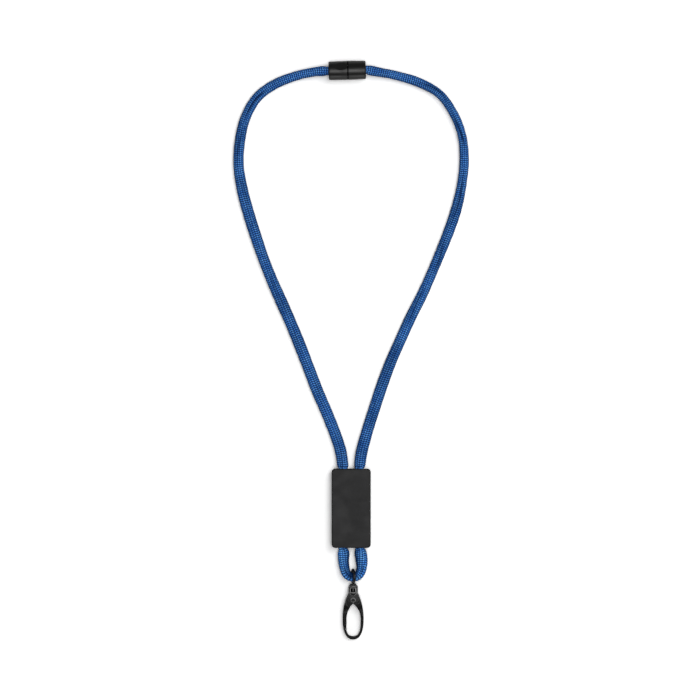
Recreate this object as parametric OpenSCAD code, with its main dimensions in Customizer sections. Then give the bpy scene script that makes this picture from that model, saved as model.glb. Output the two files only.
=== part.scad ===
// Lanyard: a braided neck cord with a breakaway connector, a clamped tag and a swivel snap hook.
// It lies flat on a surface, with the connector towards +Y, the hook towards -Y and +Z up.

/* [Cord] */
// Diameter of the cord where it is pulled round
cord_d = 6.2; // [5.6:0.1:6.6]
// Width of the cord where it lies flattened
cord_w = 8.2; // [7.4:0.1:9]
// Length of the neck loop from the tag's mouths to the connector's axis
loop_l = 278.75; // [240:0.25:320]

/* [Breakaway connector] */
// Length of the plug from the parting line
plug_l = 13.5; // [12.6:0.1:16]
// Length of the socket from the parting line
socket_l = 12.6; // [12:0.1:16]
// Diameter at the parting line
conn_d = 13.4; // [13:0.1:15]
// Diameter at the outer ends
conn_end_d = 12.9; // [12:0.1:13]
// Edge radius at the outer ends
conn_edge = 1; // [0.4:0.1:1.6]
// Chamfer along the parting line
conn_rim = 0.4; // [0.2:0.1:0.6]
// Gap between the two closed halves
conn_gap = 0.1; // [0.05:0.05:0.3]
// Angle of the connector on the surface
conn_turn = 1.5; // [-5:0.5:5]
// End wall that holds a ferrule back at the cord's mouth
mouth_wall = 1.8; // [1.2:0.1:2.4]
// Length of a ferrule
ferrule_l = 4.6; // [3:0.1:5.5]
// Wall of a ferrule
ferrule_wall = 0.5; // [0.4:0.05:0.7]
// Height of the snap bead on the prongs
bead_h = 0.25; // [0.15:0.05:0.4]
// Wall of the prongs
prong_wall = 1; // [0.7:0.1:1.4]
// Width of the slots between the prongs
prong_slot = 0.9; // [0.6:0.1:1.4]
// Flange of the prong insert around its prongs
insert_flange = 0.9; // [0.6:0.1:1.1]
// Length of the thumb recess
thumb_l = 8.2; // [5:0.1:9]
// Depth of the thumb recess
thumb_depth = 0.8; // [0.5:0.1:1.2]
// Distance of the thumb recess from the parting line
thumb_z = 4.9; // [4.6:0.1:6]
// Turn of the thumb recess around the connector
thumb_turn = 24; // [0:1:30]

/* [Tag] */
// Width of the tag
tag_w = 27.4; // [26:0.1:40]
// Length of the tag
tag_l = 55.3; // [40:0.1:56]
// Thickness of the tag
tag_t = 9; // [8.4:0.1:11]
// Corner radius of the tag
tag_corner = 2.5; // [1.5:0.1:4]
// Edge radius of the tag
tag_edge = 0.9; // [0.4:0.1:1.2]
// Distance between the two strands
strand_pitch = 11.5; // [11:0.1:12.4]
// End wall of the tag
tag_end_wall = 2.2; // [1.4:0.1:3]
// Width of the channel of one strand
channel_w = 7.6; // [7.2:0.1:8]
// Height of a grip tooth
tooth_h = 0.5; // [0.3:0.05:0.7]
// Distance between grip teeth
tooth_pitch = 10; // [6:0.5:14]
// Diameter of a peg
peg_d = 2; // [1.6:0.1:2.4]
// Length of a peg
peg_l = 2.4; // [1.5:0.1:3]

/* [Swivel eye] */
// Wire diameter of the eye
eye_wire = 1.5; // [1.2:0.1:1.8]
// Inner width of the eye
eye_in_w = 7.4; // [7.2:0.1:8.4]
// Inner length of the eye
eye_in_l = 8.2; // [8:0.1:10]
// Turn of the eye away from upright
eye_turn = 12; // [8:1:16]
// Diameter of the stem
stem_d = 1.5; // [1.2:0.1:1.8]
// Diameter of the collar
collar_d = 4.6; // [3:0.1:5.4]
// Height of the collar
collar_h = 0.9; // [0.6:0.1:1.4]

/* [Hook] */
// Length of the hook from its bottom to the top of the yoke
hook_l = 38.2; // [34:0.1:42]
// Greatest width of the hook
hook_w = 14.8; // [14:0.1:16]
// Height of the widest place above the bottom
wide_h = 14.5; // [14:0.1:15]
// Radius of the long outer sides
side_r = 43.5; // [40:0.5:46]
// Length of the hook's head from the opening's point to the top of the yoke
head_l = 12.7; // [12.2:0.1:13.4]
// Width of the arm
arm_w = 2.1; // [1.8:0.1:2.4]
// Width of the bow at the bottom
bow_w = 2.4; // [2:0.1:3]
// Width of the gate at its middle
gate_w = 2.8; // [2.4:0.1:3]
// Thickness of the arm and the gate
arm_t = 4.2; // [3.6:0.1:4.6]
// Thickness of the shoulder
shoulder_t = 5.4; // [5.2:0.1:6]
// Height of the gate's pivot above the opening's point
pin_rise = 2.5; // [2.2:0.1:3]
// Diameter of the gate pin
pin_d = 1.8; // [1.4:0.1:2]
// Diameter of the gate pin's heads
pin_head_d = 4; // [3:0.1:4.4]
// Height of the gate pin's heads
pin_head_h = 0.5; // [0.3:0.1:0.7]
// Height of the slot in the shoulder
slot_t = 3.5; // [3.3:0.1:3.7]
// Thickness of the gate's tongue
tongue_t = 1.5; // [1.2:0.1:1.6]
// Radius of the gate's hub
hub_r = 2.2; // [1.9:0.1:2.4]
// Radius of the knuckle where the gate meets the shoulder
knuckle_r = 5.3; // [5:0.1:5.6]
// Height of the outer step of the nose above the bottom
nose_h = 9.2; // [8.4:0.1:11]
// Length of the lap of the gate's tip behind the nose
lap_l = 2.1; // [1.6:0.1:2.4]
// Diameter of the yoke
yoke_d = 6.6; // [6:0.1:7]
// Width of the yoke's window
window_w = 3.8; // [3.5:0.1:4.2]
// Height of the yoke's window
window_h = 3.2; // [2.8:0.1:3.4]
// Bar across the top of the yoke
yoke_bar = 1.6; // [1.2:0.1:1.8]
// Wire diameter of the gate spring
spring_wire = 0.4; // [0.3:0.05:0.45]

/* [Fits] */
// Radial clearance of a pin or a stem that turns
run_fit = 0.06; // [0.03:0.01:0.1]
// Radial clearance of a pressed piece
press_fit = 0.02; // [0.01:0.01:0.04]
// Clearance of a loosely held piece
loose_fit = 0.15; // [0.1:0.01:0.2]
// Gap between the gate and the hook body
gate_gap = 0.2; // [0.15:0.05:0.3]

/* [Hidden] */

// Smoothness of turned faces, and sides of the swept tubes
$fn = 64;
cord_sides = 16;
cord_steps = 2;
arm_sides = 12;
wire_sides = 6;
// Reach of a cutting shape past the face that it cuts
past = 1;

// Places of the connector, the tag and the hook on the surface
tag_at = [1, -109.7];
conn_at = [-1.3, tag_at.y + tag_l / 2 + loop_l];
hook_at = [2.4, -157.9];

// Connector, measured from the parting line towards an outer end
face_z = conn_gap / 2;
mouth_r = cord_d / 2 + loose_fit;
ferrule_in_r = cord_d / 2 + press_fit;
ferrule_r = ferrule_in_r + ferrule_wall;
pocket_r = ferrule_r + run_fit;
plug_pocket_z = pocket_z(plug_l);
socket_pocket_z = pocket_z(socket_l);
throat_r = pocket_r + run_fit;
bead_r = throat_r - run_fit;
nose_r = bead_r - bead_h;
nose_l = socket_pocket_z - 2 * loose_fit;
bead_back = 1.4;
bead_z = nose_l - bead_back;
groove_r = throat_r + bead_h;
insert_r = nose_r + insert_flange;
insert_l = plug_pocket_z - loose_fit;
thumb_r = pow(thumb_l / 2, 2) / (2 * thumb_depth);
crimp_w = 0.6;
crimp_depth = 0.15;

// Tag
strand_z = tag_t / 2;
tag_cord_flat = 0.35;
lead_l = 0.8;
lead_flat = 0.4;
channel_h = cord_d - tag_cord_flat * (cord_w - cord_d) + 2 * (tooth_h + loose_fit);
channel_l = tag_l - 2 * tag_end_wall;
channel_edge = 1.2;
tooth_count = floor(channel_l / tooth_pitch / 2);
tooth_w = 1.2;
peg_x = (tag_w + strand_pitch + channel_w) / 4;
peg_y = tag_l / 2 - tag_end_wall - peg_d;
rib_peg_y = tag_l / 4;

// Swivel eye and hook, measured along the hook's axis from its bottom
swivel_gap = 0.2;
yoke_rim = 0.4;
yoke_z = hook_l - yoke_bar - window_h;
// Peened head of the stem, which fills the yoke's window but for a clearance
head_d = window_w - 2 * loose_fit;
head_h = window_h - 2 * loose_fit;
head_rim = 0.4;
eye_r = (eye_in_w + eye_wire) / 2;
collar_z = hook_l + swivel_gap;
eye_sink = eye_wire / 3;
eye_h = collar_z + collar_h - eye_sink + eye_wire / 2 + eye_r;
eye_straight = eye_in_l - eye_in_w;
rest_gap = 0.02;
eye_z = eye_r * cos(eye_turn) + eye_wire / 2 + rest_gap;
hook_tilt = asin((eye_z - arm_t / 2) / (eye_h - bow_w / 2));

// Hook outlines: half widths and radii of the outer side, the opening and the gate's inner side
outer_w = hook_w / 2;
open_w = outer_w - arm_w;
gate_in_w = outer_w - gate_w;
apex_h = hook_l - head_l;
shoulder_drop = 5;
shoulder_h = apex_h - shoulder_drop;
pin_h = apex_h + pin_rise;
neck_rise = 4.6;
neck_h = pin_h + neck_rise;
dome_r = 36;
// Powers that fill out the bow: 1 is an ellipse, less is squarer
outer_power = 0.85;
inner_power = 0.7;
// Slot of the shoulder, with the gate's tongue at its foot and the spring above it
slot_x = hub_r + 3 * gate_gap;
slot_clear = 0.1;
tongue_rise = 1.2;
tongue_h = shoulder_h + tongue_rise;
tongue_in = 0.5;
tongue_z = slot_clear - slot_t / 2;
spring_r = pin_d / 2 + spring_wire;
spring_turns = 1.5;
spring_z = tongue_z + tongue_t + slot_clear + spring_wire / 2;
spring_pitch = (slot_t / 2 - slot_clear - spring_wire / 2 - spring_z) / spring_turns;
leg_l = 2.2;
// Radii of the nose's two steps round the pin
nose_r1 = norm([outer_w, pin_h - nose_h]);
nose_r2 = nose_r1 + lap_l;

// Stations along the hook's rim, in degrees round the bow and then up the sides
rise = 0.2;
root_l = 2.8;
root_s = (shoulder_h + root_l - wide_h) / rise;
arm_start = -root_s;
arm_end = 176;
gate_start = 142;
gate_taper = 30;
gate_end = 180 + root_s;
square_from = 10;
bow_round = 0.75;
side_round = 0.35;
thin_l = 0.4;
thin_from = (shoulder_h - thin_l - wide_h) / rise;
root_t = 2.6;
root_slim = 0.25;
arm_steps = 34;
gate_steps = 16;
// Line that parts the gate's tip from the nose, and the lean of that line
lap_x = -outer_w + arm_w / 2;
lap_lean = 6;

// Routes of the cord: x, y, lift of the underside above the surface, and flatness from 0 to 1;
// the neck's y counts from the tag's mouths and is drawn for one length of the neck loop
drawn_l = 278.75;
left_points = [
    [-4.9, 3.05, 1.9, 0.9],
    [-6.4, 12.55, 0.8, 1],
    [-10.2, 24.35, 0.1, 1],
    [-16, 39.05, 0, 1],
    [-22.5, 54.05, 0, 1.1],
    [-28.6, 70.05, 0, 1],
    [-34.5, 85.35, 0, 1.1],
    [-41, 101.35, 0, 1],
    [-47.6, 116.35, 0, 1.1],
    [-54.4, 131.85, 0, 0.9],
    [-60.5, 147.35, 0, 0.8],
    [-66, 163.35, 0, 1],
    [-71, 179.35, 0, 1],
    [-75.2, 195.35, 0, 0.9],
    [-77.8, 212.25, 0, 0.6],
    [-76.9, 229.25, 0, 0.6],
    [-73, 245.75, 0, 0.5],
    [-64.6, 260.25, 0, 0.4],
    [-51.5, 269.75, 0, 0.4],
    [-36.2, 275.45, 0.8, 0.2],
    [-25.3, 277.65, 2.5, 0.2],
    [-19.3, 278.25, 3.8, 0.5]
];
right_points = [
    [7.1, 3.05, 1.9, 0.9],
    [8.5, 12.25, 0.9, 1.1],
    [12.6, 27.25, 0.1, 1],
    [17.7, 43.25, 0, 1],
    [23, 59.25, 0, 1],
    [29, 75.25, 0, 0.9],
    [35.8, 90.65, 0, 0.8],
    [42.9, 106.25, 0, 0.8],
    [50.4, 121.05, 0, 0.7],
    [57.2, 136.25, 0, 0.5],
    [63.9, 152.25, 0, 0.6],
    [70, 167.65, 0, 0.7],
    [75.2, 183.65, 0, 0.7],
    [78.7, 200.25, 0, 0.3],
    [80.2, 216.85, 0, 0.3],
    [78.5, 233.95, 0, 0],
    [72.4, 249.35, 0, 0],
    [62.5, 262.65, 0, 0],
    [47.5, 270.85, 0, 0.3],
    [31.5, 275.55, 0.9, 0.1],
    [21, 277.45, 2.7, 0.2],
    [15.1, 278.55, 3.8, 0.5]
];
loop_down_points = [
    [-4.3, -141, 2.3, 1.1],
    [-4.3, -146.5, 2.1, 0.8],
    [-3.6, -151.6, 1.9, 0.5],
    [-2.3, -155.3, 2, 0.3],
    [-0.2, -157.4, 2, 0.1]
];
loop_up_points = [
    [5, -157.4, 2, 0.1],
    [7.1, -155.3, 2, 0.3],
    [8.3, -151.6, 1.9, 0.6],
    [8.3, -146.5, 2.1, 1.2],
    [7.6, -141, 2.3, 1.3]
];

// Unit vector along v
function unit(v) = v / norm(v);

// Middle of a station of a route
function middle(p) = [p.x, p.y, p.z + section(p[3]).y / 2];

// Width and thickness of the cord at a flatness: what it gains in width it loses in thickness
function section(flat) = [cord_d + flat * (cord_w - cord_d), cord_d - flat * (cord_w - cord_d)];

// Station of a route at a middle height
function station(x, y, z, flat) = [x, y, z - section(flat).y / 2, flat];

// Station on the connector's axis, at a distance from the parting line
function conn_station(u) = station(
    conn_at.x + u * cos(conn_turn), conn_at.y + u * sin(conn_turn), conn_d / 2, 0);

// Station in the tag, on the left or the right strand
function tag_station(side, y, flat) = station(
    tag_at.x + side * strand_pitch / 2, tag_at.y + y, strand_z, flat);

// Stations of a neck cord: a straight lead out of the tag, the drawn points, and a straight lead into a
// connector half of length l, as far as the end of its ferrule
function neck_route(side, points, l) = concat(
    [tag_station(side, tag_l / 2, 0), tag_station(side, tag_l / 2 + lead_l, lead_flat)],
    [for (p = points) [p.x, tag_at.y + tag_l / 2 + p.y * loop_l / drawn_l, p.z, p[3]]],
    [conn_station(side * (l + lead_l)), conn_station(side * l),
        conn_station(side * (l - mouth_wall - ferrule_l))]);

// Start of the ferrule's pocket in a connector half of length l
function pocket_z(l) = l - mouth_wall - ferrule_l - loose_fit;

// Oval ring round a middle, square to a direction
function oval(mid, along, size, sides) =
    let (
        across = unit(cross(along, [0, 0, 1])),
        up = cross(across, along)
    )
    [for (i = [0:sides - 1])
        mid + across * size.x / 2 * cos(360 * i / sides) + up * size.y / 2 * sin(360 * i / sides)];

// Direction of a list of points at one of them
function heading(p, i) = unit(p[min(i + 1, len(p) - 1)] - p[max(i - 1, 0)]);

// Cubic between b and c, with their neighbours a and d
function cubic(a, b, c, d, t) =
    b + ((c - a) * t + (2 * a - 5 * b + 4 * c - d) * t * t + (3 * b - a - 3 * c + d) * t * t * t) / 2;

// Smooth run through the stations of a route, on or above the surface
function smooth(p) =
    let (
        ends = concat([2 * p[0] - p[1]], p, [2 * p[len(p) - 1] - p[len(p) - 2]]),
        run = [for (i = [0:len(p) - 2], k = [0:cord_steps - 1])
            cubic(ends[i], ends[i + 1], ends[i + 2], ends[i + 3], k / cord_steps)]
    )
    [for (q = concat(run, [p[len(p) - 1]])) [q.x, q.y, max(0, q.z), max(0, q[3])]];

// Rings of the cord along a route, whose ends are square to its first and last stretch
function cord_rings(route) =
    let (
        run = smooth(route),
        mids = [for (p = run) middle(p)],
        last = len(run) - 1,
        first_heading = unit(middle(route[1]) - middle(route[0])),
        last_heading = unit(middle(route[len(route) - 1]) - middle(route[len(route) - 2]))
    )
    [for (i = [0:last])
        oval(mids[i], i == 0 ? first_heading : i == last ? last_heading : heading(mids, i),
            section(run[i][3]), cord_sides)];

// Outline of the hook at a station: half width w, bottom b, side radius r and power of the bow
function outline(s, w, b, r, power) =
    s < 0 ? [w - r + sqrt(r * r - pow(s * rise, 2)), wide_h - s * rise] :
    s > 180 ? [r - w - sqrt(r * r - pow((s - 180) * rise, 2)), wide_h + (s - 180) * rise] :
    [w * full(cos(s), power), wide_h - (wide_h - b) * full(sin(s), power)];

// Radius of the opening's upper side that starts at half width w and ends in the point
function arch_r(w) = (pow(apex_h - wide_h, 2) + w * w) / (2 * w);

// Half width of the gate's inner side, which grows from the nose to its middle
function gate_inner(s) =
    open_w - (open_w - gate_in_w) * min(1, max(0, (s - gate_start) / gate_taper));

// Roundness of the rim's section: round along the bow, squarer up the sides towards the shoulder
function roundness(s) =
    let (up = max(0, max(-s, s - 180) - square_from))
    bow_round - (bow_round - side_round) * min(1, up / (root_s - square_from));

// How far the rim has run into the shoulder, where it thins out, from 0 to 1
function fade(s) =
    let (up = max(0, max(-s, s - 180) - thin_from))
    min(1, up / (root_s - thin_from));

// A value of the circle drawn towards a rectangle, the more so the lower the power
function full(v, power) = sign(v) * pow(abs(v), power);

// Inner and outer point of the rim at a station
function rim_inner(s, w) = outline(s, w, bow_w, arch_r(w), inner_power);
function rim_outer(s) = outline(s, outer_w, 0, side_r, outer_power);

// Ring across the rim at a station, from its inner side at half width w to its outer side
function rim_ring(s, w) =
    let (
        inner = rim_inner(s, w),
        outer = rim_outer(s),
        mid = (inner + outer) / 2,
        reach = (outer - inner) / 2 * (1 - root_slim * fade(s)),
        half_t = (arm_t - (arm_t - root_t) * fade(s)) / 2
    )
    [for (i = [0:arm_sides - 1])
        let (
            c = full(cos(360 * i / arm_sides), roundness(s)),
            d = full(sin(360 * i / arm_sides), roundness(s))
        )
        [mid.x + reach.x * c, mid.y + reach.y * c, half_t * d]];

// Rings along the rim of the arm and of the gate
function arm_rings() =
    [for (i = [0:arm_steps])
        rim_ring(arm_start + (arm_end - arm_start) * i / arm_steps, open_w)];
function gate_rings() =
    [for (i = [0:gate_steps])
        let (s = gate_start + (gate_end - gate_start) * i / gate_steps)
        rim_ring(s, gate_inner(s))];

// Middle line of the gate spring: a leg on the slot's wall, the turns, and a leg along the gate
function spring_path() =
    let (top = spring_z + spring_pitch * spring_turns)
    concat(
        [[slot_x - spring_wire / 2 - rest_gap, -leg_l, spring_z]],
        [for (i = [0:8 * spring_turns])
            [spring_r * cos(45 * i), spring_r * sin(45 * i), spring_z + spring_pitch * i / 8]],
        [[-leg_l, -leg_l, top], [-1.25 * leg_l, -1.9 * leg_l, top]]);
function spring_rings() =
    let (p = spring_path())
    [for (i = [0:len(p) - 1]) oval(p[i], heading(p, i), [spring_wire, spring_wire], wire_sides)];

// Solid with a skin over a list of rings and flat ends
module skin(rings) {
    n = len(rings[0]);
    last = len(rings) - 1;
    polyhedron(
        points = [for (r = rings) each r],
        faces = concat(
            [for (i = [0:last - 1], j = [0:n - 1])
                [i * n + j, (i + 1) * n + (j + 1) % n, i * n + (j + 1) % n]],
            [for (i = [0:last - 1], j = [0:n - 1])
                [i * n + j, (i + 1) * n + j, (i + 1) * n + (j + 1) % n]],
            [for (j = [1:n - 2]) [0, j, j + 1]],
            [for (j = [1:n - 2]) [last * n, last * n + j + 1, last * n + j]]));
}

// Rectangle with rounded corners
module rounded(w, l, r) {
    square([w - 2 * r, l], center = true);
    square([w, l - 2 * r], center = true);
    for (x = [-1, 1], y = [-1, 1]) {
        translate([x * (w / 2 - r), y * (l / 2 - r)]) circle(r);
    }
}

// Half of the connector: its axis is Z, with the parting line at the foot, on the left or the right
module conn_place(side) {
    translate([conn_at.x, conn_at.y, conn_d / 2])
        rotate([0, 0, conn_turn])
            rotate([0, side * 90, 0])
                children();
}

// Turned outer form of a connector half of length l
module conn_half(l) {
    r = conn_d / 2;
    end_r = conn_end_d / 2;
    rotate_extrude() {
        polygon([[0, face_z], [r - conn_rim, face_z], [r, face_z + conn_rim], [end_r, l - conn_edge],
            [end_r - conn_edge, l], [0, l]]);
        translate([end_r - conn_edge, l - conn_edge]) circle(conn_edge);
    }
}

// Bore from the parting line to the mouth of the cord, with the ferrule's pocket
module conn_bore(l) {
    translate([0, 0, pocket_z(l)]) cylinder(r = pocket_r, h = ferrule_l + loose_fit);
    cylinder(r = mouth_r, h = l + past);
    translate([0, 0, l - conn_edge / 2])
        cylinder(r1 = mouth_r, r2 = mouth_r + conn_edge, h = conn_edge);
}

module ferrule(l) {
    z = l - mouth_wall - ferrule_l;
    difference() {
        translate([0, 0, z]) cylinder(r = ferrule_r, h = ferrule_l);
        translate([0, 0, z - past]) cylinder(r = ferrule_in_r, h = ferrule_l + 2 * past);
        for (k = [1, 2]) {
            translate([0, 0, z + k * ferrule_l / 3 - crimp_w / 2]) {
                difference() {
                    cylinder(r = ferrule_r + past, h = crimp_w);
                    cylinder(r = ferrule_r - crimp_depth, h = crimp_w);
                }
            }
        }
    }
}

// Half profile of a round corner of the tag, with rounded edges
module corner_profile() {
    inner = tag_corner - tag_edge;
    square([inner, tag_t]);
    translate([0, tag_edge]) square([tag_corner, tag_t - 2 * tag_edge]);
    for (z = [tag_edge, tag_t - tag_edge]) {
        translate([inner, z]) intersection() {
            circle(tag_edge);
            translate([0, -tag_edge]) square([tag_edge, 2 * tag_edge]);
        }
    }
}

// Block of the tag: a prism along and one across with rounded edges, and four turned corners
module tag_block() {
    flat_w = tag_w - 2 * tag_corner;
    flat_l = tag_l - 2 * tag_corner;
    translate([0, 0, strand_z]) {
        rotate([90, 0, 0]) linear_extrude(flat_l, center = true) rounded(tag_w, tag_t, tag_edge);
        rotate([90, 0, 90]) linear_extrude(flat_w, center = true) rounded(tag_l, tag_t, tag_edge);
    }
    for (x = [-1, 1], y = [-1, 1]) {
        translate([x * flat_w / 2, y * flat_l / 2, 0]) rotate_extrude() corner_profile();
    }
}

// Channels and mouths of the two strands
module tag_channels() {
    for (side = [-1, 1]) {
        translate([side * strand_pitch / 2, 0, strand_z]) rotate([90, 0, 0]) {
            linear_extrude(channel_l, center = true) rounded(channel_w, channel_h, channel_edge);
            cylinder(r = mouth_r, h = tag_l + 2 * past, center = true);
        }
    }
}

// Grip teeth across both channels, on the floor of one shell
module tag_teeth(shift) {
    for (side = [-1, 1], k = [-tooth_count + 1:tooth_count - 1]) {
        translate([side * strand_pitch / 2, k * tooth_pitch + shift, strand_z - channel_h / 2])
            rotate([90, 0, 90])
                linear_extrude(channel_w - 2 * channel_edge, center = true)
                    polygon([[-tooth_w / 2, -tooth_h], [tooth_w / 2, -tooth_h], [tooth_w / 2, 0],
                        [0, tooth_h], [-tooth_w / 2, 0]]);
    }
}

module peg_places() {
    for (x = [-1, 1], y = [-1, 1]) {
        translate([x * peg_x, y * peg_y, strand_z]) children();
    }
    for (y = [-1, 1]) {
        translate([0, y * rib_peg_y, strand_z]) children();
    }
}

// Lower half of the tag, with its channels open at the parting plane
module tag_shell(shift) {
    difference() {
        tag_block();
        translate([-tag_w, -tag_l, strand_z]) cube([2 * tag_w, 2 * tag_l, tag_t]);
        tag_channels();
    }
    tag_teeth(shift);
}

// Hook as it hangs from the cord's loop, with its bottom at the local origin
module hook_place() {
    translate([hook_at.x, hook_at.y, eye_z])
        rotate([hook_tilt, 0, 0])
            translate([0, -eye_h, 0])
                children();
}

// Pointed form between two round sides, from the widest height up
module pointed(w, r) {
    intersection() {
        translate([w - r, wide_h]) circle(r);
        translate([r - w, wide_h]) circle(r);
    }
}

// Flat form of the hook above the arms, round the point of the opening
module shoulder_form(inner_w) {
    difference() {
        intersection() {
            pointed(outer_w, side_r);
            translate([-hook_w, shoulder_h]) square([2 * hook_w, neck_h + past - shoulder_h]);
        }
        pointed(inner_w, arch_r(inner_w));
    }
}

// Part of the left side that turns with the gate, outside a radius round the pin
module gate_side(r) {
    difference() {
        translate([-2 * hook_w, 0]) square([2 * hook_w, pin_h]);
        translate([0, pin_h]) circle(r);
    }
}

// Half of the shoulder's domed thickness, above or below, highest at the pin
module crown(side) {
    translate([0, pin_h, side * (shoulder_t / 2 - dome_r)]) sphere(dome_r);
}

// A flat form of the hook made as thick as the domed shoulder
module domed() {
    intersection() {
        linear_extrude(shoulder_t, center = true) children();
        crown(1);
        crown(-1);
    }
}

// Space of the gate's tip before the stepped nose, round the pin, and smaller by a gap
module nose_cut(gap) {
    linear_extrude(shoulder_t, center = true) {
        intersection() {
            translate([0, pin_h]) circle(nose_r1 - gap);
            translate([-hook_w, 0]) square([hook_w, pin_h]);
        }
        intersection() {
            translate([0, pin_h]) circle(nose_r2 - gap);
            translate([lap_x + gap, wide_h])
                rotate(lap_lean)
                    translate([0, -wide_h])
                        square([hook_w / 2, wide_h]);
        }
    }
}

// Yoke: a turned barrel on a cone, with a window through it and a bore for the stem
module yoke() {
    r = yoke_d / 2;
    difference() {
        rotate([-90, 0, 0]) rotate_extrude()
            polygon([[0, neck_h - r], [r / 2, neck_h - r], [r, neck_h], [r, hook_l - yoke_rim],
                [r - yoke_rim, hook_l], [0, hook_l]]);
        translate([-window_w / 2, yoke_z, -yoke_d]) cube([window_w, window_h, 2 * yoke_d]);
        translate([0, yoke_z, 0]) rotate([-90, 0, 0]) cylinder(d = stem_d + 2 * run_fit, h = hook_l);
    }
}

// Rivet head with a low dome, standing on the plane below it
module rivet_head() {
    head_r = (pow(pin_head_d / 2, 2) + pow(pin_head_h, 2)) / (2 * pin_head_h);
    intersection() {
        translate([0, 0, pin_head_h - head_r]) sphere(head_r);
        cylinder(d = pin_head_d + past, h = pin_head_h + past);
    }
}

module neck_cord_left() {
    color("royalblue") skin(cord_rings(neck_route(-1, left_points, plug_l)));
}

module neck_cord_right() {
    color("royalblue") skin(cord_rings(neck_route(1, right_points, socket_l)));
}

module hook_loop_cord() {
    inside = channel_l / 2 - cord_d / 2;
    route = concat(
        [tag_station(-1, tag_l / 2, 0), tag_station(-1, channel_l / 2, 0)],
        [for (k = [1, 0, -1]) tag_station(-1, k * inside, tag_cord_flat)],
        [tag_station(-1, -channel_l / 2, 0), tag_station(-1, -tag_l / 2, 0)],
        loop_down_points,
        [station(hook_at.x, hook_at.y, eye_z, 0)],
        loop_up_points,
        [tag_station(1, -tag_l / 2, 0), tag_station(1, -channel_l / 2, 0)],
        [for (k = [-1, 0, 1]) tag_station(1, k * inside, tag_cord_flat)],
        [tag_station(1, channel_l / 2, 0), tag_station(1, tag_l / 2, 0)]);
    color("royalblue") skin(cord_rings(route));
}

module plug_shell() {
    r = (conn_d + conn_end_d) / 4;
    color("#262628") conn_place(-1) difference() {
        conn_half(plug_l);
        conn_bore(plug_l);
        cylinder(r = insert_r + press_fit, h = plug_pocket_z);
        for (turn = [0, 180]) {
            rotate([0, 0, thumb_turn + turn])
                translate([r + thumb_r - thumb_depth, 0, thumb_z])
                    sphere(thumb_r);
        }
    }
}

module plug_insert() {
    color("#1c1c1e") conn_place(-1) difference() {
        union() {
            translate([0, 0, face_z]) cylinder(r = insert_r, h = insert_l - face_z);
            translate([0, 0, -nose_l + bead_h]) cylinder(r = nose_r, h = nose_l);
            translate([0, 0, -nose_l]) cylinder(r1 = nose_r - bead_h, r2 = nose_r, h = bead_h);
            translate([0, 0, -bead_z]) rotate_extrude()
                polygon([[nose_r - past, -3 * bead_h], [nose_r, -3 * bead_h], [bead_r, -bead_h / 2],
                    [bead_r, bead_h / 2], [nose_r, 3 * bead_h], [nose_r - past, 3 * bead_h]]);
        }
        translate([0, 0, -nose_l - past])
            cylinder(r = nose_r - prong_wall, h = nose_l + insert_l + 2 * past);
        for (turn = [0, 90]) {
            rotate([0, 0, turn + 45])
                translate([-conn_d, -prong_slot / 2, -nose_l - past])
                    cube([2 * conn_d, prong_slot, nose_l + past - prong_wall]);
        }
    }
}

module plug_ferrule() {
    color("silver") conn_place(-1) ferrule(plug_l);
}

module socket_shell() {
    color("#262628") conn_place(1) difference() {
        conn_half(socket_l);
        conn_bore(socket_l);
        cylinder(r = throat_r, h = socket_pocket_z);
        translate([0, 0, bead_z - 3 * bead_h]) cylinder(r1 = throat_r, r2 = groove_r, h = 2 * bead_h);
        translate([0, 0, bead_z - bead_h]) cylinder(r = groove_r, h = 2 * bead_h);
        translate([0, 0, bead_z + bead_h]) cylinder(r1 = groove_r, r2 = throat_r, h = 2 * bead_h);
    }
}

module socket_ferrule() {
    color("silver") conn_place(1) ferrule(socket_l);
}

module tag_back() {
    color("#2e2e30") translate([tag_at.x, tag_at.y, 0]) difference() {
        tag_shell(0);
        peg_places() translate([0, 0, -peg_l - loose_fit])
            cylinder(d = peg_d + 2 * press_fit, h = tag_t);
    }
}

module tag_front() {
    color("#2e2e30") translate([tag_at.x, tag_at.y, 0]) {
        translate([0, 0, tag_t]) mirror([0, 0, 1]) tag_shell(tooth_pitch / 2);
        peg_places() translate([0, 0, -peg_l]) cylinder(d = peg_d, h = peg_l + past);
    }
}

module swivel_eye() {
    color("#232325") hook_place() {
        translate([0, collar_z, 0]) rotate([-90, 0, 0]) cylinder(d = collar_d, h = collar_h);
        translate([0, hook_l - yoke_bar - run_fit - head_h, 0]) rotate([-90, 0, 0]) {
            cylinder(d1 = head_d - 2 * head_rim, d2 = head_d, h = head_rim);
            translate([0, 0, head_rim]) cylinder(d = head_d, h = head_h - head_rim);
            cylinder(d = stem_d, h = head_h + yoke_bar + run_fit + swivel_gap + collar_h / 2);
        }
        translate([0, eye_h, 0]) rotate([0, 90 + eye_turn, 0]) {
            rotate([0, 0, 180]) rotate_extrude(angle = 180) translate([eye_r, 0]) circle(d = eye_wire);
            for (side = [-1, 1]) {
                translate([side * eye_r, 0, 0])
                    rotate([-90, 0, 0]) cylinder(d = eye_wire, h = eye_straight);
            }
            translate([0, eye_straight, 0])
                rotate_extrude(angle = 180) translate([eye_r, 0]) circle(d = eye_wire);
        }
    }
}

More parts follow.
